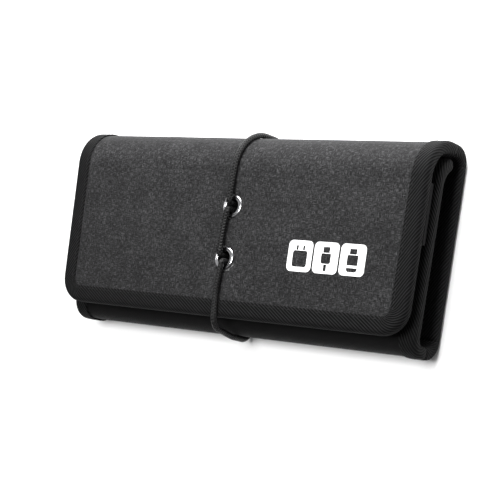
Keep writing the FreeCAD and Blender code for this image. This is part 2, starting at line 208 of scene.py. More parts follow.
def heather_cloth(name):
    """Grey melange cloth: a fine plain weave whose threads differ in tone along their length."""
    t = Tree(name, grey(0.04), 0.85, 0.12)
    uv = t.coords()
    warp = t.noise(t.coords(scale=(3800, 360, 1)), 1.0, 2.0, 0.55)
    weft = t.noise(t.coords(scale=(360, 3800, 1)), 1.0, 2.0, 0.55)
    broad = t.noise(uv, 60.0, 3.0, 0.6)
    mix = t.math("SUBTRACT", t.math("MAXIMUM", warp, weft), 0.06)
    mix = t.math("ADD", mix, t.math("MULTIPLY", t.math("SUBTRACT", broad, 0.5), 0.10))
    stops = [(0.38, grey(0.004)), (0.47, grey(0.010)), (0.54, grey(0.022)), (0.66, grey(0.078))]
    t.colour(t.ramp(mix, stops))
    ends = t.wave(uv, bands(WEAVE_PITCH), 0.6, 1.0, "X")
    picks = t.wave(uv, bands(WEAVE_PITCH), 0.6, 1.0, "Y")
    weave = t.math("MULTIPLY", ends, picks)
    t.normal(t.bump(weave, 0.00012, 0.55, t.bump(mix, 0.0002, 0.5)))
    t.rough(mix, 0.75, 0.95)
    t.sheen(0.06, 0.4, grey(0.6))
    return t.mat


def twill_tape(name, tone=0.0036):
    """Black twill tape with slanting ribs about a millimetre and a half apart."""
    t = Tree(name, grey(tone), 0.7, 0.06)
    slant = t.coords(turn=math.radians(56))
    rib = t.wave(slant, bands(1.45 * MM), 0.3, 1.0, "X")
    thread = t.wave(t.coords(turn=math.radians(-34)), 620.0, 0.5, 1.0, "X")
    patch = t.noise(t.coords(), 260.0, 3.0)
    body = t.math("ADD", t.math("MULTIPLY", rib, 0.7), t.math("MULTIPLY", thread, 0.2))
    body = t.math("ADD", body, t.math("MULTIPLY", patch, 0.25))
    stops = [(0.2, grey(tone * 0.3)), (0.6, grey(tone)), (0.95, grey(tone * 4.2))]
    t.colour(t.ramp(body, stops))
    t.normal(t.bump(body, 0.0004, 0.8))
    t.rough(body, 0.85, 0.65)
    t.sheen(0.03, 0.35, grey(0.5))
    return t.mat


def plain_cloth(name, tone, pitch=0.45 * MM, sheen=0.03, source="UV"):
    """A smooth, close-woven cloth."""
    t = Tree(name, grey(tone), 0.65, 0.07)
    uv = t.coords(source)
    k = bands(pitch)
    a = t.wave(uv, k, 0.4, 1.0, "X")
    b = t.wave(uv, k, 0.4, 1.0, "Y")
    weave = t.math("MULTIPLY", a, b)
    cloud = t.noise(uv, 70.0, 4.0)
    mix = t.math("ADD", t.math("MULTIPLY", weave, 0.4), t.math("MULTIPLY", cloud, 0.7))
    stops = [(0.2, grey(tone * 0.6)), (0.5, grey(tone)), (0.85, grey(tone * 1.8))]
    t.colour(t.ramp(mix, stops))
    t.normal(t.bump(weave, 0.00012, 0.5, t.bump(cloud, 0.0008, 0.25)))
    t.rough(cloud, 0.55, 0.8)
    t.sheen(sheen, 0.4, grey(0.5))
    return t.mat


def braid(name, tone=0.003):
    """A round braid: two sets of slanting strands that cross."""
    t = Tree(name, grey(tone), 0.45, 0.16)
    turn = bands(1.5 * MM)
    left = t.wave(t.coords(turn=math.radians(32)), turn, 0.0, 0.0, "X")
    right = t.wave(t.coords(turn=math.radians(-32)), turn, 0.0, 0.0, "X")
    strands = t.math("MAXIMUM", left, right)
    fuzz = t.noise(t.coords(), 1500.0, 2.0)
    mix = t.math("ADD", t.math("MULTIPLY", strands, 0.7), t.math("MULTIPLY", fuzz, 0.3))
    stops = [(0.25, grey(tone * 0.5)), (0.6, grey(tone * 1.2)), (0.95, grey(tone * 3.4))]
    t.colour(t.ramp(mix, stops))
    t.normal(t.bump(strands, 0.0004, 0.8, t.bump(fuzz, 0.0002, 0.4)))
    t.sheen(0.04, 0.4, grey(0.5))
    return t.mat


def chrome(name, tone, rough):
    """Bright plating with fine rubs."""
    t = Tree(name, grey(tone), rough, 0.5)
    t.bsdf.inputs["Metallic"].default_value = 1.0
    rub = t.noise(t.coords("Object"), 900.0, 3.0)
    t.rough(rub, rough * 0.6, rough * 2.2)
    t.normal(t.bump(rub, 0.00005, 0.2))
    return t.mat


def print_white(name):
    """Raised rubber print: slightly uneven, softly glossy."""
    t = Tree(name, (0.86, 0.86, 0.86), 0.45, 0.5)
    cloud = t.noise(t.coords("Object"), 500.0, 3.0)
    t.colour(t.ramp(cloud, [(0.2, (0.80, 0.80, 0.80)), (0.8, (0.90, 0.90, 0.90))]))
    t.normal(t.bump(cloud, 0.0001, 0.25))
    t.rough(cloud, 0.4, 0.6)
    return t.mat


def foam_board(name):
    t = Tree(name, (0.16, 0.16, 0.16), 0.9, 0.2)
    cell = t.add("ShaderNodeTexVoronoi")
    t.links.new(t.coords("Object"), cell.inputs["Vector"])
    cell.inputs["Scale"].default_value = 900.0
    t.colour(t.ramp(cell.outputs["Distance"], [(0.0, (0.06, 0.06, 0.06)), (0.6, (0.2, 0.2, 0.2))]))
    t.normal(t.bump(cell.outputs["Distance"], 0.0003, 0.6))
    return t.mat


def net(name, tone=0.008):
    """Open mesh: the holes let the light through."""
    t = Tree(name, grey(tone), 0.7, 0.12)
    k = bands(1.6 * MM)
    a = t.wave(t.coords(turn=math.radians(45)), k, 0.2, 0.0, "X")
    b = t.wave(t.coords(turn=math.radians(-45)), k, 0.2, 0.0, "X")
    hole = t.math("GREATER_THAN", t.math("MULTIPLY", a, b), 0.42)
    clear = t.add("ShaderNodeBsdfTransparent")
    mix = t.add("ShaderNodeMixShader")
    t.links.new(hole, mix.inputs["Fac"])
    t.links.new(t.bsdf.outputs["BSDF"], mix.inputs[1])
    t.links.new(clear.outputs["BSDF"], mix.inputs[2])
    out = t.nodes["Material Output"]
    t.links.new(mix.outputs["Shader"], out.inputs["Surface"])
    thread = t.noise(t.coords(), 1800.0, 2.0)
    t.colour(t.ramp(thread, [(0.3, grey(tone * 0.6)), (0.7, grey(tone * 2.0))]))
    t.normal(t.bump(thread, 0.0002, 0.5))
    return t.mat


def web(name, tone=0.007):
    """Woven elastic: fine ribs across the band."""
    t = Tree(name, grey(tone), 0.75, 0.12)
    rib = t.wave(t.coords("Object"), bands(1.1 * MM), 0.3, 1.0, "Y")
    fine = t.noise(t.coords("Object", (2500, 400, 2500)), 1.0, 2.0)
    mix = t.math("ADD", t.math("MULTIPLY", rib, 0.6), t.math("MULTIPLY", fine, 0.4))
    t.colour(t.ramp(mix, [(0.2, grey(tone * 0.5)), (0.8, grey(tone * 2.4))]))
    t.normal(t.bump(mix, 0.0003, 0.7))
    t.sheen(0.03, 0.4, grey(0.5))
    return t.mat


HEATHER = heather_cloth("heather_cloth")
TWILL = twill_tape("twill_tape")
LOWER = plain_cloth("lower_cloth", 0.0045)
LINING = plain_cloth("lining_cloth", 0.0035, 0.35 * MM)
BRAID = braid("braided_cord")
CHROME = chrome("polished_plating", 0.42, 0.08)
ZINC = chrome("zip_plating", 0.55, 0.25)
PRINT = print_white("white_print")
FOAM = foam_board("foam_board")
NET = net("pocket_net")
WEB = web("elastic_web")
COIL = plain_cloth("zip_coil", 0.012, 0.8 * MM, source="Object")
FLAT_TAPE = plain_cloth("pocket_tape", 0.010, 0.7 * MM, source="Object")
THREAD = plain_cloth("thread", 0.016, 0.3 * MM, source="Object")


# ---------------------------------------------------------------- mesh helpers
def tapered(p):
    """The soft pouch is a little wider at its top fold, above all at its left end."""
    taper = TAPER_LEFT if p[0] < 0 else TAPER_RIGHT
    return (p[0] * (1 + taper * p[1]), p[1], p[2])


def mesh_object(name, points, faces, uvs=None, mats=()):
    mesh = bpy.data.meshes.new(name)
    mesh.from_pydata([tapered(p) for p in points], [], [tuple(f) for f in faces])
    if uvs is not None:
        layer = mesh.uv_layers.new(name="UVMap")
        loops = np.zeros(len(mesh.loops), dtype=np.int64)
        mesh.loops.foreach_get("vertex_index", loops)
        flat = np.asarray(uvs, float)[loops].astype(np.float32).ravel()
        layer.data.foreach_set("uv", flat)
    for m in mats:
        mesh.materials.append(m)
    mesh.polygons.foreach_set("use_smooth", np.full(len(mesh.polygons), True))
    mesh.update()
    mesh.validate()
    obj = bpy.data.objects.new(name, mesh)
    bpy.context.collection.objects.link(obj)
    return obj


def joined(name, objects):
    """The objects as one, keeping their materials and UVs."""
    with bpy.context.temp_override(active_object=objects[0], object=objects[0],
                                   selected_editable_objects=objects,
                                   selected_objects=objects):
        bpy.ops.object.join()
    objects[0].name = name
    objects[0].data.name = name
    return objects[0]


# ---------------------------------------------------------------- the pouch's long section
class Run:
    """A straight or curved stretch of the outer face in the YZ plane, from arc length a to b."""

    def __init__(self, a, length, point, normal, centre=None, radius=0.0, start=0.0):
        self.a = a
        self.b = a + length
        self.point = point
        self.normal = normal
        self.centre = centre
        self.radius = radius
        self.start = start


def section():
    """The outer face from the leaf's free edge round the back to the flap's free edge."""
    r = SIDE_Y - REAR_Y
    big = SIDE_Y - FRONT_Y
    runs = []
    at = 0.0

    def line(y, z, dy, dz, ny, nz, length):
        nonlocal at
        runs.append(Run(at, length, (y, z, dy, dz), (ny, nz)))
        at += length

    def arc(cy, cz, radius, degrees, sweep=90.0):
        nonlocal at
        length = radius * math.radians(sweep)
        runs.append(Run(at, length, None, None, (cy, cz), radius, math.radians(degrees)))
        at += length

    arc(CURL_Y, LEAF_Z - CURL_R, CURL_R, CURL_END, 90 - CURL_END)
    line(CURL_Y, LEAF_Z, -1, 0, 0, 1, CURL_Y + REAR_Y)
    arc(-REAR_Y, LEAF_ARC_Z, r, 90)
    line(-SIDE_Y, LEAF_ARC_Z, 0, -1, -1, 0, LEAF_ARC_Z - REAR_Z)
    arc(-REAR_Y, REAR_Z, r, 180)
    line(-REAR_Y, BACK_Z, 1, 0, 0, -1, 2 * REAR_Y)
    arc(REAR_Y, REAR_Z, r, 270)
    line(SIDE_Y, REAR_Z, 0, 1, 1, 0, FRONT_Z - REAR_Z)
    arc(FRONT_Y, FRONT_Z, big, 0)
    line(FRONT_Y, FLAP_Z, -1, 0, 0, 1, FRONT_Y - FLAP_EDGE)
    return runs


RUNS = section()
S_LEAF, S_LEAF_FLAT, S_LEAF_FOLD, S_LOW_SPINE, S_LOW_REAR = [r.a for r in RUNS[:5]]
S_BACK, S_TOP_REAR, S_TOP_SPINE, S_FRONT, S_FLAP = [r.a for r in RUNS[5:]]
S_END = RUNS[-1].b
S_LOW_MID = (S_LOW_SPINE + S_LOW_REAR) / 2
S_TOP_MID = (S_TOP_SPINE + S_FRONT) / 2


def along(s, offset=0.0):
    """(y, z, ny, nz) at arc length s on the outer face, moved out by offset."""
    run = next((r for r in RUNS if s <= r.b + 1e-9), RUNS[-1])
    t = s - run.a
    if run.centre is None:
        y, z, dy, dz = run.point
        ny, nz = run.normal
        y += dy * t
        z += dz * t
    else:
        angle = run.start + t / run.radius
        ny = math.cos(angle)
        nz = math.sin(angle)
        y = run.centre[0] + ny * run.radius
        z = run.centre[1] + nz * run.radius
    return y + ny * offset, z + nz * offset, ny, nz


def steps(a, b, pitch):
    n = max(2, int(round((b - a) / pitch)) + 1)
    return np.linspace(a, b, n)


def section_steps(a, b, pitch):
    """Arc lengths from a to b that include every joint between runs."""
    marks = [a] + [r.a for r in RUNS if a + 1e-6 < r.a < b - 1e-6] + [b]
    found = [steps(p, q, pitch) for p, q in zip(marks[:-1], marks[1:])]
    return np.unique(np.concatenate(found).round(8))


def half_width(s, half, inset):
    """The cloth's half width at arc length s: it narrows round the free corners."""
    for edge, corner in ((S_END, FLAP_CORNER), (S_LEAF, LEAF_CORNER)):
        r = corner - inset
        d = abs(edge - s) - inset
        if d < r:
            return half - r + math.sqrt(max(r * r - (r - max(d, 0.0)) ** 2, 0.0))
    return half


# ---------------------------------------------------------------- padded crown, by cloth simulation
def smooth_step(a, b, v):
    t = np.clip((v - a) / (b - a), 0, 1)
    return t * t * (3 - 2 * t)


def plain_crown(xs, ss, a, b, rise):
    """A pillow shape over the panel from arc length a to b, flat at its borders and eyelets."""
    side = smooth_step(0.0, 26 * MM, HALF_W - BAND - np.abs(xs))[:, None]
    ends = smooth_step(0.0, 16 * MM, ss - a) * smooth_step(0.0, 20 * MM, b - ss)
    shape = rise * side * ends[None, :]
    if a >= S_FRONT:
        for e in EYELETS.values():
            gap = np.hypot(xs[:, None] - e.x, (S_FLAP + FRONT_Y - ss)[None, :] - e.y)
            shape = shape * smooth_step(6.5 * MM, 20 * MM, gap)
    return shape


SIM_FRAMES = 24
FORMULA_SHARE = 0.25                         # how much of the plain pillow is added to the result


def simulated_crown(name, xs, ss, a, b, cap):
    """The cloth's shape under pressure, held at its borders and eyelets, as a grid of heights.

    The simulation gives the shape only: it is scaled so that its peak is the chosen 'cap'.
    """
    points = []
    for x in xs:
        for s in ss:
            y, z, ny, nz = along(s)
            points.append((x, y, z))
    n = len(ss)
    faces = [(i * n + j, i * n + j + 1, (i + 1) * n + j + 1, (i + 1) * n + j)
             for i in range(len(xs) - 1) for j in range(n - 1)]
    obj = mesh_object(name, points, faces)
    held = obj.vertex_groups.new(name="held")
    spots = []
    for i, x in enumerate(xs):
        for j, s in enumerate(ss):
            free = min(HALF_W - BAND - abs(x), s - a, b - s)
            if a >= S_FRONT:
                y = along(s)[0]
                gaps = [math.hypot(x - e.x, y - e.y) for e in EYELETS.values()]
                free = min(free, min(gaps) - 8 * MM)
            if free <= 0:
                spots.append(i * n + j)
    held.add(spots, 1.0, "REPLACE")
    cloth = obj.modifiers.new("Cloth", "CLOTH")
    s = cloth.settings
    s.quality = 6
    s.mass = 0.15
    s.tension_stiffness = 30
    s.compression_stiffness = 30
    s.shear_stiffness = 10
    s.bending_stiffness = 2.0
    s.vertex_group_mass = "held"
    s.shrink_min = -0.004
    s.use_pressure = True
    s.uniform_pressure_force = 2.0
    s.effector_weights.gravity = 0
    cloth.point_cache.frame_start = 1
    cloth.point_cache.frame_end = SIM_FRAMES
    for f in range(1, SIM_FRAMES + 1):
        bpy.context.scene.frame_set(f)
    done = obj.evaluated_get(bpy.context.evaluated_depsgraph_get()).to_mesh()
    moved = np.zeros(len(points) * 3)
    done.vertices.foreach_get("co", moved)
    moved = moved.reshape(-1, 3) - np.array(points)
    normals = np.array([(0, *along(s)[2:]) for _ in xs for s in ss])
    lift = np.abs((moved * normals).sum(1)).reshape(len(xs), n)
    bpy.context.scene.frame_set(1)
    bpy.data.objects.remove(obj)
    peak = max(np.percentile(lift, 97), 1e-6)
    lift = cap * np.clip(lift / peak, 0, 1.15)
    inside = plain_crown(xs, ss, a, b, 1.0) > 0
    return lift * inside + FORMULA_SHARE * plain_crown(xs, ss, a, b, cap)


class Field:
    """A grid of heights over (x, s), read between its points."""

    def __init__(self, xs, ss, grid):
        self.xs = xs
        self.ss = ss
        self.grid = grid

    def at(self, x, s):
        i = np.clip(np.interp(x, self.xs, np.arange(len(self.xs))), 0, len(self.xs) - 1.001)
        j = np.clip(np.interp(s, self.ss, np.arange(len(self.ss))), 0, len(self.ss) - 1.001)
        a = int(i)
        b = int(j)
        u = i - a
        v = j - b
        g = self.grid
        top = g[a, b] * (1 - v) + g[a, b + 1] * v
        low_row = g[a + 1, b] * (1 - v) + g[a + 1, b + 1] * v
        return float(top * (1 - u) + low_row * u)


def calm(grid, times=2):
    """Evens out a grid a little."""
    g = grid.copy()
    for _ in range(times):
        p = np.pad(g, 1, mode="edge")
        g = (p[:-2, 1:-1] + p[2:, 1:-1] + p[1:-1, :-2] + p[1:-1, 2:] + 4 * g) / 8
    return g


# ---------------------------------------------------------------- the cord's route
def bend_points(corners, pitch=0.7 * MM):
    """Points along straight runs joined by arcs. Each corner is (point, bend radius)."""
    out = []
    start = corners[0][0]

    def run(a, b):
        n = max(1, int((b - a).length / pitch))
        out.extend(a.lerp(b, k / n) for k in range(n))

    for i in range(1, len(corners) - 1):
        p, r = corners[i]
        back = (corners[i - 1][0] - p).normalized()
        ahead = (corners[i + 1][0] - p).normalized()
        turn = math.pi - back.angle(ahead)
        leg = r * math.tan(turn / 2)
        a = p + back * leg
        b = p + ahead * leg
        inward = (back + ahead).normalized()
        centre = p + inward * (r / math.cos(turn / 2))
        run(start, a)
        n = min(max(3, int(r * turn / (pitch * 0.5))), 60)
        u = (a - centre).normalized()
        w = b - centre
        w = (w - u * w.dot(u)).normalized()
        out.extend(centre + r * (u * math.cos(turn * k / n) + w * math.sin(turn * k / n))
                   for k in range(n))
        start = b
    run(start, corners[-1][0])
    out.append(corners[-1][0])
    return out


def cord_corners():
    up = EYELETS["eyelet_upper"].y
    down = EYELETS["eyelet_lower"].y
    knot = low("cord_knot_upper").z
    f = high("elastic_cord").z - CORD_R
    back = low("elastic_cord").z + CORD_R + 0.15 * MM
    side = high("elastic_cord").y - CORD_R

    def v(x, y, z):
        return Vector((x * MM, y, z))
    end = knot + 2.0 * MM
    turn = knot + CORD_R + 0.3 * MM
    edge = FLAP_EDGE - 5.8 * MM
    return [
        (v(-1.2, up + 1.7 * MM, end), 0),
        (v(-1.2, up + 1.7 * MM, f), 1.7 * MM),
        (v(-0.9, up + 10.5 * MM, f), 20 * MM),
        (v(-0.6, side, f), SIDE_Y - FRONT_Y + CORD_R),
        (v(1.0, side, back), 9.2 * MM),
        (v(-1.8, -side, back), 9.2 * MM),
        (v(1.2, -side, 22.0 * MM), 16 * MM),
        (v(1.8, edge, f), 7 * MM),
        (v(-0.3, down - 19.5 * MM, f), 20 * MM),
        (v(0.6, down - 1.7 * MM, f), 1.7 * MM),
        (v(0.6, down - 1.7 * MM, turn), 2 * MM),
        (v(-1.9, down + 1.5 * MM, turn), 2 * MM),
        (v(-1.9, down + 1.5 * MM, f), 1.7 * MM),
        (v(-2.2, down + 8 * MM, f), 10 * MM),
        (v(-2.0, up - 8 * MM, f), 10 * MM),
        (v(-1.4, up - 1.6 * MM, f), 1.7 * MM),
        (v(-1.4, up - 1.6 * MM, end), 0),
    ]


CORD_LINE = bend_points(cord_corners())
CORD_ARRAY = np.array([tuple(p) for p in CORD_LINE])


def swept(name, line, radius, sides, mat):
    """A round tube along points, with UVs in metres along and round it."""
    pts = [Vector(p) for p in line]
    tangents = []
    for i in range(len(pts)):
        a = pts[max(i - 1, 0)]
        b = pts[min(i + 1, len(pts) - 1)]
        tangents.append((b - a).normalized())
    side = tangents[0].orthogonal().normalized()
    points = []
    uvs = []
    dist = 0.0
    for i, p in enumerate(pts):
        t = tangents[i]
        side = (side - t * side.dot(t)).normalized()
        other = t.cross(side)
        if i:
            dist += (p - pts[i - 1]).length
        for k in range(sides + 1):
            a = 2 * math.pi * k / sides
            points.append(p + (side * math.cos(a) + other * math.sin(a)) * radius)
            uvs.append((dist, radius * a))
    n = sides + 1
    faces = [(i * n + k, i * n + k + 1, (i + 1) * n + k + 1, (i + 1) * n + k)
             for i in range(len(pts) - 1) for k in range(sides)]
    faces.append(list(range(sides))[::-1])
    faces.append([(len(pts) - 1) * n + k for k in range(sides)])
    obj = mesh_object(name, points, faces, uvs, [mat])
    weld(obj)
    return obj


def weld(obj, distance=1e-6):
    bm = bmesh.new()
    bm.from_mesh(obj.data)
    bmesh.ops.remove_doubles(bm, verts=bm.verts, dist=distance)
    bmesh.ops.recalc_face_normals(bm, faces=bm.faces)
    bm.to_mesh(obj.data)
    bm.free()


def face_out(obj):
    bm = bmesh.new()
    bm.from_mesh(obj.data)
    bmesh.ops.recalc_face_normals(bm, faces=bm.faces)
    bm.to_mesh(obj.data)
    bm.free()


# ---------------------------------------------------------------- cloth covers
DENT_REACH = 6.0 * MM                        # only cord this near presses on the cloth
DENT_DEEPEST = 2.0 * MM
DENT_SLOPE = 1.3


def cord_dent(x, s, offset):
    """How far the cord's own path pushes the outer cloth in at (x, s)."""
    y, z, ny, nz = along(s)
    d = CORD_ARRAY - np.array([x, y, z])
    height = d[:, 1] * ny + d[:, 2] * nz
    across = np.sqrt(np.maximum((d ** 2).sum(1) - height ** 2, 0))
    near = (across < DENT_REACH) & (np.abs(height) < DENT_REACH)
    if not near.any():
        return offset
    room = height[near] - np.sqrt(np.maximum(CORD_DRAWN_R ** 2 - across[near] ** 2, 0))
    room += np.maximum(across[near] - CORD_DRAWN_R, 0) * DENT_SLOPE
    return max(min(offset, float(room.min()) - 0.05 * MM), -DENT_DEEPEST)


def cover(name, a, b, xs, depth, thick, mat, lift=None, dented=False, inset=TAPE):
    """A closed sheet over arc lengths a to b, its outer face 'depth' under the outer face."""
    ss = section_steps(a, b, 1.6 * MM)
    half = max(abs(xs[0]), abs(xs[-1]))
    edge_a = a if a > S_LEAF + 1e-6 else a + inset
    edge_b = b if b < S_END - 1e-6 else b - inset
    ss = np.unique(np.clip(ss, edge_a, edge_b).round(8))
    outer = []
    inner = []
    uvs = []
    for x in xs:
        for s in ss:
            px = x / half * half_width(s, half, inset)
            d = -depth
            if lift is not None:
                d += lift(px, s)
            if dented:
                d = cord_dent(px, s, d)
            y, z, ny, nz = along(s, d)
            outer.append((px, y, z))
            y, z, ny, nz = along(s, d - thick)
            inner.append((px, y, z))
            uvs.append((px, s))
    m = len(xs)
    n = len(ss)
    k = m * n
    faces = []
    for i in range(m - 1):
        for j in range(n - 1):
            p = i * n + j
            faces.append((p, p + 1, p + n + 1, p + n))
            faces.append((k + p, k + p + n, k + p + n + 1, k + p + 1))
    rim = [i * n for i in range(m)] + [(m - 1) * n + j for j in range(1, n)]
    rim += [i * n + n - 1 for i in range(m - 2, -1, -1)] + [j for j in range(n - 2, 0, -1)]
    for p, q in zip(rim, rim[1:] + rim[:1]):
        faces.append((p, q, k + q, k + p))
    obj = mesh_object(name, outer + inner, faces, uvs + uvs, [mat])
    face_out(obj)
    return obj


# ---------------------------------------------------------------- binding tape
def tape_section():
    """Points of the U-shaped tape round a panel's edge: (in from the edge, out from mid)."""
    h = PANEL / 2
    out = h + TAPE
    r = 2.6 * MM
    half = [(BAND, h - 0.05 * MM), (BAND, out - 0.3 * MM), (BAND - 0.35 * MM, out)]
    half += [(u * MM, out) for u in (8.7, 8.3, 7.9, 6.4, 5.0, 3.8)]
    for k in range(6):
        a = math.radians(90 - 18 * k)
        half.append((r - r * math.cos(a), out - r + r * math.sin(a)))
    mirrored = [(u, -v) for u, v in reversed(half)]
    inner = [(1.4 * MM, -h + 0.05 * MM), (0.9 * MM, 0), (1.4 * MM, h - 0.05 * MM)]
    return half + mirrored + inner


def on_panel(x, s, out):
    """The point at (x, s), 'out' from the middle of the panel's thickness."""
    y, z, ny, nz = along(s, out - PANEL / 2)
    return Vector((x, y, z))


def sweep_tape(name, stations):
    """The tape along stations of (x, s, way in along x, way in along s, reach)."""
    sec = tape_section()
    points = []
    uvs = []
    dist = 0.0
    girth = [0.0]
    for (u0, v0), (u1, v1) in zip(sec, sec[1:]):
        girth.append(girth[-1] + math.hypot(u1 - u0, v1 - v0))
    last = None
    for x, s, ux, us, reach in stations:
        p = on_panel(x, s, 0.0)
        if last is not None:
            dist += (p - last).length
        last = p
        for (a, b), g in zip(sec, girth):
            a = min(a, reach)
            points.append(on_panel(x + ux * a, s + us * a, b))
            uvs.append((dist, g))
    k = len(sec)
    faces = []
    for i in range(len(stations) - 1):
        for j in range(k):
            q = (j + 1) % k
            faces.append((i * k + j, (i + 1) * k + j, (i + 1) * k + q, i * k + q))
    faces.append(list(range(k)))
    faces.append([(len(stations) - 1) * k + j for j in range(k)][::-1])
    obj = mesh_object(name, points, faces, uvs, [TWILL])
    face_out(obj)
    return obj


def side_stations(side, a, b):
    """Stations along one end of the pouch between two arc lengths; side is -1 left, 1 right."""
    found = [(side * HALF_W, s, -side, 0.0, BAND) for s in section_steps(a, b, 2.0 * MM)]
    return found if side < 0 else found[::-1]


def edge_stations(a, edge, corner):
    """Stations from arc length a down the left end, along a free edge, and up the right end."""
    way = 1 if edge > a else -1
    turn_at = edge - way * corner
    lo, hi = sorted((a, turn_at))
    left = side_stations(-1, lo, hi)
    right = side_stations(1, lo, hi)
    if way < 0:
        left = left[::-1]
        right = right[::-1]
    reach = min(BAND, corner * 0.97)
    turns = [math.radians(90 * k / 9) for k in range(1, 9)]
    cx = HALF_W - corner
    down = []
    up = []
    for t in turns:
        c = math.cos(t)
        d = way * math.sin(t)
        down.append((-cx - corner * c, turn_at + corner * d, c, -d, reach))
        up.append((cx + corner * c, turn_at + corner * d, -c, -d, reach))
    middle = [(x, edge, 0.0, -way, BAND) for x in steps(-cx, cx, 3 * MM)]
    return left + down + middle + up[::-1] + right


def stitches(name, stations, inset, out, pitch=3.3 * MM, length=2.2 * MM):
    """A row of short thread stitches on both faces of the tape."""
    points = []
    faces = []
    shape = ((-0.5, 0.0, -0.05), (-0.3, 0.17, 0.05), (-0.3, -0.17, 0.05), (0, 0.2, 0.16),
             (0, -0.2, 0.16), (0.3, 0.17, 0.05), (0.3, -0.17, 0.05), (0.5, 0.0, -0.05),
             (0, 0, 0.24))
    sides = ((0, 1, 8), (0, 8, 2), (1, 3, 8), (8, 4, 2), (3, 5, 8), (8, 6, 4), (5, 7, 8),
             (8, 7, 6))
    for way in (1, -1):
        line = []
        for x, s, ux, us, reach in stations:
            a = min(inset, reach * 0.85)
            p = on_panel(x + ux * a, s + us * a, way * out)
            q = on_panel(x + ux * a, s + us * a, way * (out + MM))
            n = (q - p) / MM
            # stitches under the pouch sink into the tape, so that they stay above the floor
            sunk = 0.26 * MM * max(0.0, -n.z) if way > 0 else 0.0
            line.append((p - n * sunk, n))
        gap = 0.0
        for (p, n), (q, _) in zip(line[:-1], line[1:]):
            size = (q - p).length
            if size < 1e-7:
                continue
            t = (q - p) / size
            u = t.cross(n)
            while gap < size:
                base = len(points)
                c = p + t * gap
                points.extend(c + t * k * length + u * w * MM + n * h * MM
                              for k, w, h in shape)
                faces.extend([base + i for i in f] for f in sides)
                gap += pitch
            gap -= size
    return mesh_object(name, points, faces, None, [THREAD])


# ---------------------------------------------------------------- build the padded covers
FLAP_XS = steps(-CLOTH_X + 0.3 * MM, CLOTH_X - 0.3 * MM, 2.2 * MM)
SIM_XS = steps(-CLOTH_X, CLOTH_X, 3.6 * MM)


def crown(name, a, b, cap):
    ss = section_steps(a, b, 3.6 * MM)
    grid = calm(simulated_crown(name, SIM_XS, ss, a + 1 * MM, b - 1 * MM, cap))
    field = Field(SIM_XS, ss, grid)
    return lambda x, s: field.at(x, s) if a < s < b else 0.0


flap_lift = crown("flap_sim", S_FRONT + 4 * MM, S_END - BAND, 0.9 * MM)
leaf_lift = crown("leaf_sim", S_LEAF_FLAT + 4 * MM, S_LEAF_FOLD - 1 * MM, 0.4 * MM)


def flap_height(x, y):
    """Height of the flap's outer cloth over a point of its flat part."""
    return FLAP_Z + max(flap_lift(x, S_FLAP + FRONT_Y - y), 0.0)


def bind(obj, *bodies, nodes=(), slot=None):
    """Rides on one body; a piece spanning the joint between two bodies at the folds' arcs is only
    baked in place, not attached to either.
    """
    if len(bodies) == 1:
        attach(obj, bodies[0])
    else:
        ends = {
            ("top_spine", "flap"): (S_FRONT, S_FLAP),
            ("top_spine", "back"): (S_TOP_SPINE, S_TOP_REAR),
            ("bottom_spine", "back"): (S_LOW_REAR, S_BACK),
            ("bottom_spine", "leaf"): (S_LOW_SPINE, S_LEAF_FOLD),
        }[bodies]
        start, stop = [Vector((0, *along(s, -PANEL / 2)[:2])) for s in ends]
        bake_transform(obj)
    if nodes:
        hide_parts(*nodes)
    return obj


PARTS = [
    ("flap", S_TOP_MID, S_END, ("top_spine", "flap"), HEATHER, flap_lift, True,
     ["flap_fabric", "top_front_fold_fabric"], ["flap_lining", "top_front_fold_lining"]),
    ("top_rear", S_TOP_REAR, S_TOP_MID, ("top_spine", "back"), HEATHER, None, True,
     ["top_rear_fold_fabric", "top_spine_fabric"], ["top_rear_fold_lining", "top_spine_lining"]),
    ("back", S_BACK, S_TOP_REAR, ("back",), HEATHER, None, True,
     ["back_fabric"], ["back_lining"]),
    ("bottom_rear", S_LOW_MID, S_BACK, ("bottom_spine", "back"), LOWER, None, True,
     ["bottom_rear_fold_fabric", "bottom_spine_fabric"],
     ["bottom_rear_fold_lining", "bottom_spine_lining"]),
    ("leaf", S_LEAF, S_LOW_MID, ("bottom_spine", "leaf"), LOWER, leaf_lift, False,
     ["leaf_fabric", "bottom_front_fold_fabric"], ["leaf_lining", "bottom_front_fold_lining"]),
]
BOARDS = {
    "flap": ("flap", S_FLAP, S_END), "top_rear": ("top_spine", S_TOP_SPINE, S_FRONT),
    "back": ("back", S_BACK, S_TOP_REAR),
    "bottom_rear": ("bottom_spine", S_LOW_SPINE, S_LOW_REAR),
    "leaf": ("leaf", S_LEAF, S_LEAF_FOLD),
}
SLOTS = {"flap": "heather_fabric", "top_rear": "heather_fabric", "back": "heather_fabric",
         "bottom_rear": "lower_fabric", "leaf": "lower_fabric"}


def punch(obj):
    """Cuts the eyelets' holes through a cover."""
    cutter = None
    for e in EYELETS.values():
        bpy.ops.mesh.primitive_cylinder_add(vertices=48, radius=5.0 * MM, depth=30 * MM,
                                            location=(e.x, e.y, e.z))
        cutter = joined("cutter", [cutter, bpy.context.object] if cutter else [bpy.context.object])
    cut = obj.modifiers.new("Holes", "BOOLEAN")
    cut.operation = "DIFFERENCE"
    cut.solver = "EXACT"
    cut.object = cutter
    done = obj.evaluated_get(bpy.context.evaluated_depsgraph_get())
    mesh = bpy.data.meshes.new_from_object(done)
    obj.modifiers.clear()
    obj.data = mesh
    bpy.data.objects.remove(cutter)


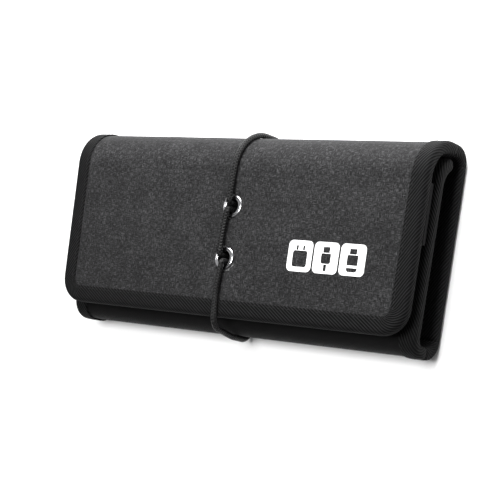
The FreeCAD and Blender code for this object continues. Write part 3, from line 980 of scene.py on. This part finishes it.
for name, a, b, bodies, cloth, lift, dented, outer_nodes, inner_nodes in PARTS:
    skin = cover(f"{name}_cover", a, b, FLAP_XS, 0.0, CLOTH_T * 0.9, cloth, lift, dented)
    if name == "flap":
        punch(skin)
    bind(skin, *bodies, nodes=outer_nodes, slot=SLOTS[name])
    body, c, d = BOARDS[name]
    board = cover(f"{name}_board", c, d, FLAP_XS, CLOTH_T, PANEL - 2 * CLOTH_T, FOAM)
    if name == "flap":
        punch(board)
    bind(board, body, nodes=[f"{body}_foam"], slot="foam")
    inside = cover(f"{name}_lining_cover", a, b, FLAP_XS, PANEL - CLOTH_T, CLOTH_T, LINING)
    if name == "flap":
        punch(inside)
    bind(inside, *bodies, nodes=inner_nodes, slot="lining")


# ---------------------------------------------------------------- tapes and their stitches
def taped(name, stations, bodies, nodes):
    obj = sweep_tape(f"{name}_tape", stations)
    bind(obj, *bodies, nodes=nodes, slot="binding_tape")
    rows = stitches(f"{name}_stitches", stations, 8.3 * MM, PANEL / 2 + TAPE - 0.04 * MM)
    bind(rows, *bodies, slot="binding_tape")


taped("flap", edge_stations(S_TOP_MID, S_END, FLAP_CORNER), ("top_spine", "flap"),
      ["flap_binding", "top_front_fold_binding_left", "top_front_fold_binding_right"])
taped("leaf", edge_stations(S_LOW_MID, S_LEAF, LEAF_CORNER), ("bottom_spine", "leaf"),
      ["leaf_binding", "bottom_front_fold_binding_left", "bottom_front_fold_binding_right"])
for side, word in ((-1, "left"), (1, "right")):
    taped(f"top_rear_{word}", side_stations(side, S_TOP_REAR, S_TOP_MID), ("top_spine", "back"),
          [f"top_rear_fold_binding_{word}", f"top_spine_binding_{word}"])
    taped(f"back_{word}", side_stations(side, S_BACK, S_TOP_REAR), ("back",),
          [f"back_binding_{word}"])
    taped(f"bottom_rear_{word}", side_stations(side, S_LOW_MID, S_BACK),
          ("bottom_spine", "back"),
          [f"bottom_rear_fold_binding_{word}", f"bottom_spine_binding_{word}"])


# ---------------------------------------------------------------- eyelets
def lathe(name, centre, section_points, mat, sides=64):
    points = []
    for k in range(sides):
        a = 2 * math.pi * k / sides
        for r, z in section_points:
            points.append((centre.x + r * math.cos(a), centre.y + r * math.sin(a), z))
    n = len(section_points)
    faces = []
    for k in range(sides):
        m = (k + 1) % sides
        for j in range(n):
            q = (j + 1) % n
            faces.append((k * n + j, m * n + j, m * n + q, k * n + q))
    obj = mesh_object(name, points, faces, None, [mat])
    weld(obj)
    return obj


def eyelet(name):
    box_low = low(name)
    box_high = high(name)
    centre = EYELETS[name]
    hole = 4.0 * MM
    rim = box_high.x - centre.x
    top = box_high.z
    mid = (hole + rim) / 2
    wide = (rim - hole) / 2
    face = FLAP_Z - 0.1 * MM
    sec = []
    for k in range(19):
        a = math.radians(180 - 10 * k)
        rise = math.sin(a) - 0.22 * math.exp(-((k - 8) / 1.6) ** 2)
        sec.append((mid + wide * math.cos(a), face + (top - face) * rise))
    sec += [(rim, face - 0.25 * MM), (hole + 0.5 * MM, face - 0.3 * MM)]
    sec += [(hole + 0.4 * MM, box_low.z + 0.5 * MM), (hole + 1.1 * MM, box_low.z + 0.3 * MM)]
    sec += [(hole + 0.6 * MM, box_low.z), (hole + 0.1 * MM, box_low.z + 0.15 * MM)]
    sec += [(hole, box_low.z + 0.6 * MM)]
    obj = lathe(f"{name}_ring", centre, sec, CHROME)
    bind(obj, "flap", nodes=[name], slot="chrome")


for name in EYELETS:
    eyelet(name)

# ---------------------------------------------------------------- cord and knots
cord = swept("cord", CORD_LINE, CORD_DRAWN_R, 20, BRAID)
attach(cord, "flap")
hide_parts("elastic_cord")


def knot(name):
    """An overhand knot in the same cord, behind an eyelet."""
    c = (low(name) + high(name)) / 2
    line = []
    for k in range(91):
        t = 2 * math.pi * k / 90
        x = (math.sin(t) + 2 * math.sin(2 * t)) * 1.12 * MM
        y = (math.cos(t) - 2 * math.cos(2 * t)) * 1.12 * MM
        z = -math.sin(3 * t) * 0.65 * MM
        line.append(c + Vector((x, y, z)))
    obj = swept(f"{name}_turns", line, 1.3 * MM, 14, BRAID)
    bind(obj, "flap", nodes=[name], slot="cord")
    return obj


knots = [knot(n) for n in ("cord_knot_upper", "cord_knot_lower")]
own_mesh(cord)


# ---------------------------------------------------------------- printed tiles, laid on the crown
def printed(node):
    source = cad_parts[node]
    mesh = source.data.copy()
    mesh.name = f"{node}_print"
    obj = bpy.data.objects.new(f"{node}_print", mesh)
    bpy.context.collection.objects.link(obj)
    bm = bmesh.new()
    bm.from_mesh(mesh)
    bmesh.ops.remove_doubles(bm, verts=bm.verts, dist=1e-6)
    bmesh.ops.triangulate(bm, faces=bm.faces)
    for _ in range(2):
        long = [e for e in bm.edges if e.calc_length() > 2.5 * MM]
        bmesh.ops.subdivide_edges(bm, edges=long, cuts=2, use_grid_fill=False)
        bmesh.ops.triangulate(bm, faces=bm.faces)
    for v in bm.verts:
        v.co.z += flap_height(v.co.x, v.co.y) - FLAP_Z - 0.05 * MM
    bm.to_mesh(mesh)
    bm.free()
    mesh.polygons.foreach_set("use_smooth", np.zeros(len(mesh.polygons), dtype=bool))
    mesh.materials.clear()
    mesh.materials.append(PRINT)
    bind(obj, "flap", nodes=[node], slot="white_print")


for node in ("icon_charger", "icon_cable", "icon_stick"):
    printed(node)

# ---------------------------------------------------------------- materials on the kept CAD nodes
KEPT = {
    "cable_loops": WEB, "zip_half": COIL, "zip_pocket_frame": FLAT_TAPE,
    "flap_pocket_binding": FLAT_TAPE, "leaf_pocket": LINING, "zip_slider": ZINC,
    "zip_pull": ZINC, "washer": CHROME, "mesh": NET,
}


def repaint():
    for name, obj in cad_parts.items():
        found = next((m for key, m in KEPT.items() if key in name), None)
        if found is None:
            continue
        for holder in obj.material_slots:
            holder.material = found


repaint()


# ---------------------------------------------------------------- stage
def studio():
    bpy.ops.mesh.primitive_plane_add(size=6.0, location=(0, 0, 0))
    floor = bpy.context.object
    floor.name = "floor"
    t = Tree("floor_paper", (0.9, 0.9, 0.9), 0.9, 0.1)
    floor.data.materials.append(t.mat)
    world = bpy.data.worlds.new("studio")
    bpy.context.scene.world = world
    world.use_nodes = True
    sky_light(world.node_tree)
    lamp("overhead", (0.1, 0.0, 1.1), (0, 0, 0.02), 0.45, 12.0)
    lamp("key", (0.04, 0.42, 0.19), (0, 0, 0.03), 0.35, 6.5)


def sky_light(tree):
    """Soft white from above and behind the top fold, fading to grey at the lower front."""
    back = tree.nodes["Background"]
    coord = tree.nodes.new("ShaderNodeTexCoord")
    toward = tree.nodes.new("ShaderNodeVectorMath")
    toward.operation = "DOT_PRODUCT"
    toward.inputs[1].default_value = (-0.25, 0.75, 0.6)
    ramp = tree.nodes.new("ShaderNodeValToRGB")
    ramp.color_ramp.elements[0].position = 0.05
    ramp.color_ramp.elements[0].color = (0.18, 0.18, 0.18, 1)
    ramp.color_ramp.elements[1].position = 0.75
    ramp.color_ramp.elements[1].color = (1, 1, 1, 1)
    tree.links.new(coord.outputs["Generated"], toward.inputs[0])
    tree.links.new(toward.outputs["Value"], ramp.inputs["Fac"])
    tree.links.new(ramp.outputs["Color"], back.inputs["Color"])
    back.inputs["Strength"].default_value = 0.7


def lamp(name, at, target, size, power):
    data = bpy.data.lights.new(name, "AREA")
    data.shape = "SQUARE"
    data.size = size
    data.energy = power
    obj = bpy.data.objects.new(name, data)
    bpy.context.collection.objects.link(obj)
    obj.location = at
    obj.rotation_euler = (Vector(target) - Vector(at)).to_track_quat("-Z", "Y").to_euler()


def camera():
    """The photograph's viewpoint: in front, to the right, a little below, and rolled."""
    data = bpy.data.cameras.new("main")
    obj = bpy.data.objects.new("main", data)
    bpy.context.collection.objects.link(obj)
    yaw = Matrix.Rotation(0.663, 4, "Y")
    tilt = Matrix.Rotation(0.104, 4, "X")
    roll = Matrix.Rotation(0.158, 4, "Z")
    place = Matrix.Translation((0.5292, -0.0975, 0.6945))
    obj.matrix_world = place @ yaw @ tilt @ roll
    data.sensor_width = 36.0
    data.lens = 107.67
    data.clip_start = 0.01
    bpy.context.scene.camera = obj


studio()
camera()
bpy.context.scene.view_settings.view_transform = "Standard"
bpy.context.view_layer.update()
